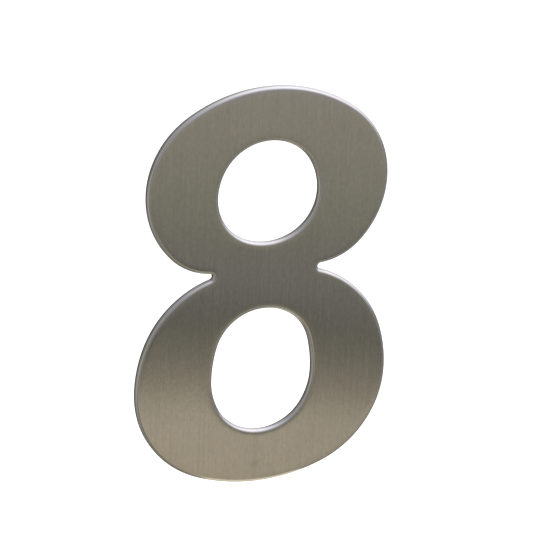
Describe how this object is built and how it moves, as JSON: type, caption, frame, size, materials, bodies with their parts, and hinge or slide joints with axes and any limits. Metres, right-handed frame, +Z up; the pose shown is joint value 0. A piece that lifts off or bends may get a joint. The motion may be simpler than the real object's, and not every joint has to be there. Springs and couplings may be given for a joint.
{
  "type": "house number",
  "caption": "Flat house number 8 in brushed steel sheet with rounded front edges, two open counters and threaded studs on its back.",
  "frame": {"origin": "on the flat back, halfway between the two studs; the mount wall_studs lies 0.8 mm behind it, where the studs leave their flanges", "axes": "+Z up the figure, +Y out of the back towards the wall, so the front face looks along -Y, and +X to the viewer's right"},
  "size_m": [0.0956, 0.017, 0.15],
  "materials": {
    "plate": "fine upright brushing, satin",
    "stud": "plain bright, threaded"
  },
  "bodies": {
    "root": {"number_plate": "plate", "upper_stud": "stud", "lower_stud": "stud"}
  },
  "joints": []
}
